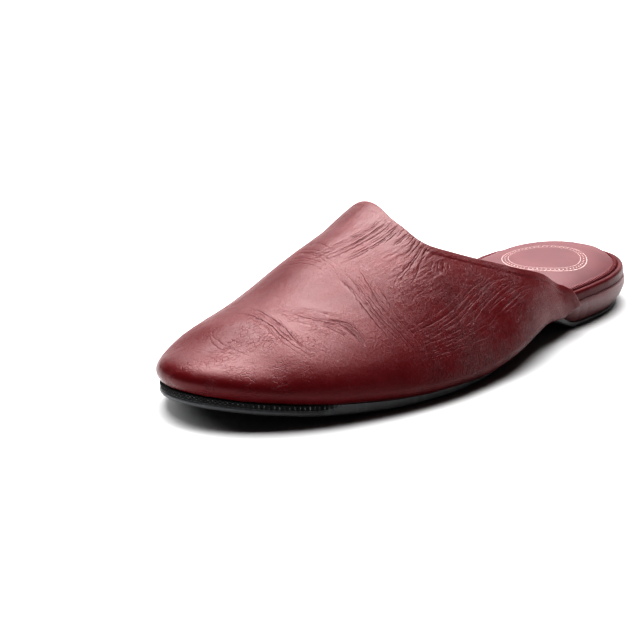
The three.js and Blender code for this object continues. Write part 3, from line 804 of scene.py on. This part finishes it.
def makeSock(leather):
    form = sockForm
    angles = np.linspace(0, np.pi, form["stations"])

    def wallSide(along, side, turn):
        radius = np.maximum(0, tuck("inset", along) - making["wall"])
        return tuck(sideName(side), along) - making["wall"] - making["gap"] - radius * (1 - math.cos(turn))

    def outset(along, side, back, wallTurn):
        forward = ease(along, last["beadEnd"] + 0.01, last["heelFront"])
        rounding = form["inset"] + back * mixed(form["seatRound"], form["edgeRound"], forward)
        return mixed(-making["beadWidth"], wallSide(along, side, wallTurn), forward) - rounding

    def height(place, lift):
        forward = ease(place, last["breastBack"], last["heelFront"])
        return sockBase(place) + lift * mixed(making["beadHeight"], making["sock"], forward)

    def crown(along):
        return mixed(making["seatCrown"], making["footCrown"], ease(along, 0.2, 0.5))

    rows = []
    for t in np.linspace(0, 1, form["sideRows"]):
        lift = math.sin(t * np.pi / 2) ** 0.85
        back = (1 - math.cos(t * np.pi / 2)) ** 1.15
        wallTurn = mixed(np.pi / 2, np.pi / 3.6, min(1, lift * 1.2))
        rows.append((partial(outset, back=back, wallTurn=wallTurn), partial(height, lift=lift)))
    points, faces = loft(ringRows(angles, rows), form["across"], crown, form["fullness"])
    piece = makePiece("sockPad", points, faces, [leather], "insole")


pipingForm = dict(sides=24, stations=170, square=2.4, below=7, waver=0.02, waverSize=11 * mm)


def seatRoute(out, rise, stations, reach):  # a line round the seat from one wing to the other
    parts = []
    for side in (1, -1):
        angles = np.linspace(0, angleOf(reach), stations)
        plan = offsetEdge(angles, side, np.full(stations, out))
        height = sockBase(alongAt(plan[:, 1])) + rise
        parts.append(np.concatenate([plan, height[:, None]], 1))
    return np.concatenate([parts[0][:0:-1], parts[1]])


def tubeAlong(route, across, upright, sides, square=2, below=None):
    # closed tube, squarer with a higher number, which may be another one in its lower half
    run = np.gradient(route, axis=0)
    out = np.stack([run[:, 1], -run[:, 0], np.zeros(len(run))], -1)
    out /= np.linalg.norm(out, axis=1, keepdims=True)
    turn = np.linspace(0, 2 * np.pi, sides, endpoint=False)
    square = np.where(np.sin(turn) < 0, below or square, square)
    wide, tall = (np.sign(wave) * abs(wave) ** (2 / square) for wave in (np.cos(turn), np.sin(turn)))
    across = np.broadcast_to(across, len(route))[:, None, None]
    upright = np.broadcast_to(upright, len(route))[:, None, None]
    rings = route[:, None] + across * out[:, None] * wide[:, None]
    rings = rings + upright * np.array([0, 0, 1.0]) * tall[:, None]
    index = np.arange(len(route) * sides).reshape(len(route), sides)
    faces = stripFaces(index, closed=True)
    faces += [index[0].tolist(), index[-1, ::-1].tolist()]
    return rings.reshape(-1, 3), faces


def makePiping(leather):
    form = pipingForm
    across, upright = ((making[name] - making["gap"]) / 2 for name in ("beadWidth", "beadHeight"))
    route = seatRoute(-making["beadWidth"] / 2, upright, form["stations"], last["beadEnd"])
    waver = 1 + form["waver"] * softHills(route[:, :2], form["waverSize"], 21)
    points, faces = tubeAlong(route, across * waver, upright * waver, form["sides"], form["square"],
                              form["below"])
    makePiece("seatPiping", points, faces, [leather], "bead")


stitchForm = dict(
    pitch=1.6 * mm, thread=0.27 * mm, sides=6, steps=6, stations=300, shortOf=0.012, bow=0.1 * mm,
    # ends of a stitch: outwards from the groove, and up from the top of the piping
    inside=(-1.35 * mm, 0.42 * mm), outside=(0.75 * mm, -0.30 * mm),
)


def makeStitches(thread):  # short stitches that cross the groove between sock and piping
    form = stitchForm
    reach = last["beadEnd"] - form["shortOf"]
    inside, outside = (
        seatRoute(-making["beadWidth"] + out, making["beadHeight"] + rise, form["stations"], reach)
        for out, rise in (form["inside"], form["outside"])
    )
    walked = walkedAlong(outside)
    t = np.linspace(0, 1, form["steps"])[:, None]
    arch = np.sin(np.pi * t)
    radius = form["thread"] * (0.6 + 0.4 * arch[:, 0])
    points, faces = [], []
    for number, place in enumerate(np.arange(form["pitch"], walked[-1], form["pitch"])):
        start, end = (
            np.array([np.interp(place, walked, line[:, k]) for k in range(3)]) for line in (inside, outside)
        )
        route = mixed(start, end, t) + np.array([0, 0, form["bow"]]) * arch
        skin, skinFaces = tubeAlong(route, radius, radius, form["sides"])
        points.append(skin)
        faces += [[corner + number * len(skin) for corner in face] for face in skinFaces]
    makePiece("sockStitches", np.concatenate(points), faces, [thread], None)


# Materials


class Wire:  # one socket of a material, so that node maths reads as plain expressions
    def __init__(self, shop, socket):
        self.shop, self.socket = shop, socket

    def __add__(self, other):
        return self.shop.math("ADD", self, other)

    def __sub__(self, other):
        return self.shop.math("SUBTRACT", self, other)

    def __rsub__(self, other):
        return self.shop.math("SUBTRACT", other, self)

    def __mul__(self, other):
        return self.shop.math("MULTIPLY", self, other)

    def __truediv__(self, other):
        return self.shop.math("DIVIDE", self, other)

    def __pow__(self, other):
        return self.shop.math("POWER", self, other)

    __radd__ = __add__


class Workshop:  # makes the nodes of one material
    def __init__(self, name):
        self.material = bpy.data.materials.new(name)
        self.material.use_nodes = True
        self.tree = self.material.node_tree
        self.shader = self.tree.nodes["Principled BSDF"]

    def node(self, kind, settings, *values, output=0, **named):
        made = self.tree.nodes.new(kind)
        for label, value in settings.items():
            setattr(made, label, value)
        for key, value in [*enumerate(values), *named.items()]:
            self.feed(made.inputs[key], value)
        return Wire(self, made.outputs[output])

    def feed(self, socket, value):
        if isinstance(value, Wire):
            self.tree.links.new(value.socket, socket)
        else:
            socket.default_value = value

    def finish(self, values):
        for label, value in values.items():
            self.feed(self.shader.inputs[label], value)
        return self.material

    def math(self, operation, *values):
        return self.node("ShaderNodeMath", {"operation": operation}, *values)

    def place(self):  # coordinates in a piece's own space
        return self.node("ShaderNodeTexCoord", {}, output="Object")

    def mark(self, name, output="Fac"):  # values that a piece carries on its corners
        return self.node("ShaderNodeAttribute", {"attribute_name": name}, output=output)

    def axis(self, vector, letter):
        return self.node("ShaderNodeSeparateXYZ", {}, vector, output=letter)

    def facingUp(self):  # 1 where the surface faces up, -1 where it faces down
        return self.axis(self.node("ShaderNodeNewGeometry", {}, output="Normal"), "Z")

    def stretched(self, vector, scale, turn=0.0, warp=None, middle=(0, 0, 0)):
        if warp is not None:
            vector = self.node("ShaderNodeVectorMath", {"operation": "ADD"}, vector, warp)
        return self.node("ShaderNodeMapping", {"vector_type": "TEXTURE"}, Vector=vector,
                         Location=middle, Rotation=(0, 0, turn), Scale=scale)

    def noise(self, vector, scale, detail=2.0, roughness=0.5, output="Fac"):
        return self.node("ShaderNodeTexNoise", {}, Vector=vector, Scale=scale, Detail=detail,
                         Roughness=roughness, output=output)

    def sway(self, vector, scale, detail, roughness, reach):  # random shifts that warp a pattern
        cloud = self.noise(vector, scale, detail, roughness, "Color")
        return self.node("ShaderNodeVectorMath", {"operation": "SCALE"}, cloud, Scale=reach)

    def cells(self, vector, size, feature="DISTANCE_TO_EDGE", randomness=1.0):
        return self.node("ShaderNodeTexVoronoi", {"feature": feature}, Vector=vector, Scale=1 / size,
                         Randomness=randomness, output="Distance")

    def band(self, value, low, high, start=0.0, end=1.0):  # soft step between two values
        return self.node("ShaderNodeMapRange", {"interpolation_type": "SMOOTHSTEP"},
                         value, low, high, start, end)

    def most(self, first, second):  # the greater of two values, either of which may still be missing
        return second if first is None else self.math("MAXIMUM", first, second)

    def blend(self, share, first, second):
        made = self.tree.nodes.new("ShaderNodeMix")
        made.data_type = "RGBA"
        for key, value in (("Factor", share), (6, first), (7, second)):
            self.feed(made.inputs[key], value)
        return Wire(self, made.outputs[2])

    def bump(self, height, distance, under=None):
        below = {} if under is None else dict(Normal=under)
        return self.node("ShaderNodeBump", {}, Height=height, Distance=distance, Strength=1.0, **below)


leatherLook = dict(
    deep=(0.090, 0.005, 0.0075, 1), main=(0.117, 0.0064, 0.0098, 1), light=(0.140, 0.010, 0.015, 1),
    # painted shade: the crease colour darkens crease cuts, crackle lines and fine fold lines
    creaseShadeColour=(0.034, 0.002, 0.004, 1), tint=(1.0, 0.74, 0.74, 1), shine=0.33, roughness=0.32,
    grainSize=1.15 * mm, grainDepth=0.105 * mm, warp=0.9 * mm, cutWidth=0.2, cutDepth=0.22 * mm,
    cutWaver=1.5, folds=1.9 * mm, foldDepth=0.16 * mm, sway=2.6 * mm, gathers=1.7 * mm,
    gatherHeight=1.6, crackle=2.4 * mm,
)
# The cover's colours are paler and greyer than the upper's: partly its own colour, partly painted
# reflection of the bright floor; its high shine adds the real reflection.
coverLook = dict(leatherLook, deep=(0.094, 0.016, 0.019, 1), main=(0.118, 0.024, 0.028, 1),
                 light=(0.145, 0.036, 0.040, 1), tint=(1, 0.95, 0.95, 1), shine=1.0, roughness=0.42)
pipingLook = dict(leatherLook, deep=(0.060, 0.004, 0.006, 1), main=(0.078, 0.005, 0.008, 1),
                  light=(0.095, 0.008, 0.011, 1), shine=0.18, roughness=0.38)
# Where wear shows on the hide, as soft steps: from, to, and where given the value before and after.
# Metres along the foot, around from its crown (below 0 on the lateral side), or aside from it either way.
wearZones = dict(
    along=dict(grain=(0.20, 0.245, 1.0, 0.6), crackle=(0.205, 0.225), rough=(0.195, 0.24),
               slackBack=(0.085, 0.115, 0.25, 1.0), slackToe=(0.170, 0.215, 1.0, 0.15),
               gatherBack=(0.150, 0.158), gatherToe=(0.172, 0.195, 1.0, 0.0)),
    around=dict(slack=(-0.01, 0.03, 1.0, 0.8), gatherCrown=(0.012, -0.004), gatherSide=(-0.050, -0.034)),
    aside=dict(grainCrown=(0.012, 0.04, 0.6, 0.9), grainSide=(0.055, 0.085, 1.0, 0.5),
               crackle=(0.045, 0.030), slackCrown=(0.020, 0.052, 0.15, 1.0),
               slackSide=(0.075, 0.1, 1.0, 0.3)),
)
# Nets of fine folds: turn, stretch along, stretch across and width of their lines.
foldNets = [(0.36, 0.30, 1.6, 0.15), (0.78, 0.5, 1.7, 0.13), (0.05, 0.34, 1.4, 0.12),
            (1.25, 0.9, 1.6, 0.12)]


def wornHide(shop, solid, place, look):  # what walking did to the upper, and where on the hide
    at = dict(along=shop.axis(place, "X"), around=shop.axis(place, "Y"))
    at["aside"] = shop.math("ABSOLUTE", at["around"])

    def on(way, *names):
        steps = [shop.band(at[way], *wearZones[way][name]) for name in names]
        return steps[0] if len(steps) == 1 else steps[0] * steps[1]

    sway = shop.sway(solid, 150.0, 3.0, 0.6, look["sway"])
    folds = None
    for turn, long, across, width in foldNets:
        cell = shop.cells(shop.stretched(place, (long, across, 1), turn, sway), look["folds"])
        line = shop.band(cell, 0.0, width)
        folds = line if folds is None else folds * (line * 0.5 + 0.5)
    slack = on("along", "slackBack", "slackToe") * on("aside", "slackCrown", "slackSide")
    slack = slack * on("around", "slack")
    slack = slack * shop.band(shop.noise(solid, 55.0, 3.0, 0.6), 0.36, 0.62, 0.25, 1.0)
    crackle = shop.cells(shop.stretched(place, (1, 0.7, 1), 0.5, sway), look["crackle"])
    crackle = shop.band(crackle, 0.0, 0.07, 1.0, 0.0) * on("along", "crackle") * on("aside", "crackle")
    crackle = crackle * shop.band(shop.noise(solid, 110.0, 4.0, 0.6), 0.42, 0.62)
    drawn = shop.noise(shop.stretched(place, (7.0, 1.0, 1), 0.12), 1 / look["gathers"], 2.0, 0.45)
    pull = on("along", "gatherBack", "gatherToe") * on("around", "gatherCrown", "gatherSide")
    waver = (shop.noise(solid, 480.0, 3.0, 0.6) - 0.5) * look["cutWaver"]
    cut = None
    for k in range(creaseForm["layers"]):
        layer = shop.mark(f"cut{k}", "Vector")
        apart = (shop.axis(layer, "X") + waver) / look["cutWidth"]
        line = shop.math("POWER", math.e, apart * apart * -1.0) * shop.axis(layer, "Y")
        cut = shop.most(cut, line)
    return dict(
        folds=folds, slack=slack, crackle=crackle, gathers=shop.band(drawn, 0.3, 0.7) * pull,
        cut=cut * shop.band(shop.noise(solid, 210.0, 2.0), 0.36, 0.56, 0.35, 1.0),
        grain=on("along", "grain") * on("aside", "grainCrown", "grainSide"), toe=on("along", "rough"),
    )


def makeLeather(name="oxbloodLeather", hide=True, grain=1.0, look=leatherLook):
    shop = Workshop(name)
    solid = shop.place()
    place = shop.mark("hide", "Vector") if hide else solid
    cloud = shop.noise(solid, 26.0, 4.0)
    tone = shop.noise(solid, 110.0, 5.0, 0.6)
    warp = shop.sway(solid, 300.0, 2.0, 0.5, look["warp"])
    pebble = shop.cells(shop.stretched(place, (1, 1, 1), 0, warp), look["grainSize"], "SMOOTH_F1")
    fine = shop.cells(shop.stretched(place, (1.0, 0.72, 1), 0.5, warp), look["grainSize"] / 1.9)
    pore = shop.noise(solid, 1500.0, 3.0, 0.6)
    height = (1 - pebble) * 0.8 + shop.band(fine, 0.0, 0.22) * 0.45 + pore * 0.2
    strength = shop.band(cloud, 0.3, 0.7, 0.55, 1.0) * grain
    colour = shop.blend(shop.band(cloud, 0.3, 0.72), look["deep"], look["main"])
    colour = shop.blend(shop.band(tone, 0.45, 0.75, 0.0, 0.55), colour, look["light"])
    rough = look["roughness"] + (tone - 0.5) * 0.10 + (1 - pebble) * -0.03
    if hide:
        wearAndPaintedLight = wornHide(shop, solid, place, look)
        cut, crackle, folds, slack = (wearAndPaintedLight[part] for part in ("cut", "crackle", "folds", "slack"))
        height = height + wearAndPaintedLight["gathers"] * look["gatherHeight"]
        normal = shop.bump(height * (strength * wearAndPaintedLight["grain"]), look["grainDepth"])
        normal = shop.bump(folds * slack, look["foldDepth"], normal)
        normal = shop.bump(shop.most(cut, crackle * 0.3), look["cutDepth"] * -1, normal)
        # painted shade: crease cuts, crackle lines and the fine fold lines are darkened towards the crease
        # colour
        paintedLineShades = (shop.band(cut, 0.05, 1.0, 0.0, 0.75), crackle * 0.4, (1 - folds) * slack * 0.6)
        for share in paintedLineShades:
            colour = shop.blend(share, colour, look["creaseShadeColour"])
        rough = rough - shop.band(shop.facingUp(), 0.0, -0.45) * 0.16 + cut * 0.2 + wearAndPaintedLight["toe"] * 0.06
    else:
        normal = shop.bump(height * strength, look["grainDepth"])
    return shop.finish({
        "Base Color": colour, "Roughness": rough, "Normal": normal, "IOR": 1.5,
        "Specular IOR Level": look["shine"], "Specular Tint": look["tint"],
    })


sockLook = dict(
    main=(0.100, 0.018, 0.023, 1), light=(0.135, 0.030, 0.035, 1), foil=(0.74, 0.56, 0.52, 1),
    pebble=0.75 * mm, roughness=0.54, depth=0.05 * mm, wornFoil=0.7,
    # generic oval mark: two rings, given by radius and line width, with dots between them
    middle=(0.0035, 0.0846), reach=(0.0175, 0.0205), line=0.36 * mm, gap=2.8 * mm, dots=56,
)


def ovalMark(shop, solid):  # share of foil, before wear
    look = sockLook
    size = sum(look["reach"]) / 2
    gap, line = look["gap"] / size, look["line"] / size
    x, y = ((shop.axis(solid, letter) - middle) / reach
            for letter, middle, reach in zip("XY", look["middle"], look["reach"]))
    ring = (x * x + y * y) ** 0.5
    foil = None
    for radius, width in ((1.0, line), (1.0 - gap, line * 0.55)):
        away = shop.math("ABSOLUTE", ring - radius)
        foil = shop.most(foil, shop.band(away, 0.35 * width, 0.65 * width, 1.0, 0.0))
    turn = shop.math("ARCTAN2", y, x) * (look["dots"] / (2 * math.pi))
    beat = shop.math("ABSOLUTE", shop.math("FRACT", turn) - 0.5) * (2 * math.pi / look["dots"])
    away = ring - (1.0 - gap / 2)
    dots = (beat * beat + away * away) ** 0.5
    return shop.most(foil, shop.band(dots, 0.25 * mm / size, 0.42 * mm / size, 1.0, 0.0))


def makeSockLeather(name="sockLeather", marked=True):
    look = sockLook
    shop = Workshop(name)
    solid = shop.place()
    tone = shop.noise(solid, 60.0, 5.0, 0.55)
    pebble = shop.cells(solid, look["pebble"], "SMOOTH_F1")
    height = (1 - pebble) * 0.6 + shop.noise(solid, 1600.0, 3.0) * 0.4
    colour = shop.blend(shop.band(tone, 0.3, 0.75), look["main"], look["light"])
    rough = look["roughness"] + (tone - 0.5) * 0.12
    metal = 0.0
    if marked:
        flakes = shop.band(shop.noise(solid, 1400.0, 3.0, 0.7), 0.36, 0.50)
        foil = ovalMark(shop, solid) * flakes * look["wornFoil"]
        colour = shop.blend(foil, colour, look["foil"])
        metal = foil * 0.6
        rough = rough - foil * 0.14
        height = height - foil * 1.2
    return shop.finish({"Base Color": colour, "Roughness": rough, "Metallic": metal,
                        "Normal": shop.bump(height, look["depth"])})


threadLook = dict(dark=(0.14, 0.016, 0.022, 1), light=(0.30, 0.060, 0.066, 1), turns=900.0, depth=0.06 * mm)


def makeThread():
    look = threadLook
    shop = Workshop("burgundyThread")
    twist = shop.node("ShaderNodeTexWave", {"bands_direction": "DIAGONAL"}, Vector=shop.place(),
                      Scale=look["turns"], Distortion=0.4, output="Fac")
    return shop.finish({"Base Color": shop.blend(twist, look["dark"], look["light"]), "Roughness": 0.6,
                        "Normal": shop.bump(twist, look["depth"])})


# In the rubber look, the groove colour is painted shade for the grooves between the ribs.
rubberLook = dict(
    main=(0.105, 0.109, 0.114, 1), scuffed=(0.17, 0.177, 0.184, 1), flange=(0.006, 0.006, 0.007, 1),
    # painted highlight: the pale grey puts glints on the rib crests of the flange, and stands also for
    # their wear
    wearAndPaintedLight=(0.42, 0.42, 0.43, 1), groove=(0.003, 0.003, 0.003, 1), roughness=0.42,
    tread=2.6 * mm, treadTurn=0.785, treadDepth=0.5 * mm, gritDepth=0.05 * mm,
)


def makeRubber():
    look = rubberLook
    shop = Workshop("soleRubber")
    solid = shop.place()
    flanged, grooved = shop.mark("flanged"), shop.mark("grooved")
    scuff = shop.noise(shop.stretched(solid, (1, 1, 5)), 240.0, 6.0, 0.7)
    dust = shop.noise(solid, 900.0, 4.0, 0.7)
    grit = shop.noise(solid, 2600.0, 2.0)
    tread = shop.cells(shop.stretched(solid, (1, 1, 1), look["treadTurn"]), look["tread"], randomness=0.0)
    tread = shop.band(tread, 0.05, 0.16) * shop.band(shop.facingUp(), -0.6, -0.9)
    colour = shop.blend(shop.band(scuff, 0.45, 0.8), look["main"], look["scuffed"])
    colour = shop.blend(flanged * 0.95, colour, look["flange"])
    # painted highlight: pale specks on the rib crests stand for the knurl's glints, and also for wear of
    # the crests
    wearAndPaintedLight = shop.band(grooved, 0.30, 0.12) * flanged * shop.band(dust, 0.46, 0.60)
    colour = shop.blend(wearAndPaintedLight * 0.8, colour, look["wearAndPaintedLight"])
    # painted shade: the grooves between the ribs are darkened almost to black
    colour = shop.blend(shop.band(grooved, 0.25, 0.85, 0.0, 0.93), colour, look["groove"])
    rough = look["roughness"] + shop.band(scuff, 0.4, 0.75, 0.0, 0.25) + flanged * 0.25
    fine = shop.bump(grit * 0.5 + dust * 0.5, look["gritDepth"])
    return shop.finish({"Base Color": colour, "Roughness": rough,
                        "Normal": shop.bump(tread, look["treadDepth"], fine)})


# Floor, light and camera

studio = dict(
    floorSize=7.0, floorTone=0.47, floorRoughness=0.6,
    # the floor glows but for a dark oval under the shoe
    darkMiddle=(0.014, 0.010, 0), darkReach=(0.078, 0.135), glowEnd=1.45, glow=0.8,
    top=dict(size=(1.50, 1.02), place=(-0.28, 0.42, 1.18), power=50.0),
    sweep=dict(size=(2.5, 1.0), place=(-1.28, 1.74, 0.62), power=8.5),
    aim=(0, 0.05, 0), room=0.018, look="High Contrast",
)
# Lens and sensor in mm; focal, centre and frame in pixels of the photo.
shot = dict(azimuth=37.49, elevation=16.27, distance=1176.6 * mm, lens=157.9, sensor=36.0,
            focal=2807.0, centre=(414.96, 349.16), frame=640)


def makeFloor():
    shop = Workshop("paleFloor")
    half = studio["floorSize"] / 2
    mesh = bpy.data.meshes.new("studioFloor")
    corners = [(half * x, half * y, 0) for x, y in ((-1, -1), (1, -1), (1, 1), (-1, 1))]
    mesh.from_pydata(corners, [], [(0, 1, 2, 3)])
    tone = studio["floorTone"]
    spread = shop.stretched(shop.place(), (*studio["darkReach"], 1), middle=studio["darkMiddle"])
    spread = shop.node("ShaderNodeVectorMath", {"operation": "LENGTH"}, spread, output="Value")
    glow = shop.band(spread, 1.0, studio["glowEnd"], 0.0, studio["glow"])
    mesh.materials.append(shop.finish({
        "Base Color": (tone, tone, tone, 1), "Roughness": studio["floorRoughness"],
        "Emission Color": shop.blend(glow, (0, 0, 0, 1), (1, 1, 1, 1)), "Emission Strength": 1.0,
    }))
    floor = bpy.data.objects.new("studioFloor", mesh)
    bpy.context.scene.collection.objects.link(floor)
    floor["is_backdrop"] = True


def makeLights():
    for name in ("top", "sweep"):
        choice = studio[name]
        data = bpy.data.lights.new(name + "Softbox", "AREA")
        data.shape = "RECTANGLE"
        data.size, data.size_y = choice["size"]
        data.energy = choice["power"]
        lamp = bpy.data.objects.new(name + "Softbox", data)
        lamp.location = choice["place"]
        aim = Vector(studio["aim"]) - lamp.location
        lamp.rotation_euler = aim.to_track_quat("-Z", "Y").to_euler()
        lamp.visible_camera = False
        bpy.context.scene.collection.objects.link(lamp)
    world = bpy.data.worlds.new("studioRoom")
    world.use_nodes = True
    room = world.node_tree.nodes["Background"].inputs
    room["Color"].default_value = (1, 1, 1, 1)
    room["Strength"].default_value = studio["room"]
    bpy.context.scene.world = world


def makeCamera():
    azimuth, elevation = math.radians(shot["azimuth"]), math.radians(shot["elevation"])
    back = Vector((math.sin(azimuth) * math.cos(elevation), -math.cos(azimuth) * math.cos(elevation),
                   math.sin(elevation)))
    right = Vector((math.cos(azimuth), math.sin(azimuth), 0))
    up = back.cross(right)
    aside, down = (place - shot["frame"] / 2 for place in shot["centre"])
    forward = (-back * shot["focal"] - right * aside + up * down).normalized()
    right = (right - right.dot(forward) * forward).normalized()
    up = right.cross(forward)
    data = bpy.data.cameras.new("photoCamera")
    data.lens, data.sensor_width = shot["lens"], shot["sensor"]
    data.clip_start, data.clip_end = 0.05, 20.0
    camera = bpy.data.objects.new("photoCamera", data)
    turn = Matrix((right, up, -forward)).transposed()
    camera.matrix_world = Matrix.Translation(back * shot["distance"] + Vector(standing)) @ turn.to_4x4()
    bpy.context.scene.collection.objects.link(camera)
    bpy.context.scene.camera = camera


makeCamera()
makeFloor()
makeLights()
print("studio set")
makeUpper(makeLeather(), makeSockLeather("liningLeather", marked=False))
makeOutsole(makeRubber())
makeHeel(makeLeather("coverLeather", hide=False, grain=0.6, look=coverLook))
makeSock(makeSockLeather())
makePiping(makeLeather("pipingLeather", hide=False, grain=0.4, look=pipingLook))
makeStitches(makeThread())
bpy.context.scene.view_settings.view_transform = "Standard"
bpy.context.scene.view_settings.look = studio["look"]

sizes = [list(corner) for corner in (*solidBounds, *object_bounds())]
dict(solid=sizes[:2], visual=sizes[2:])
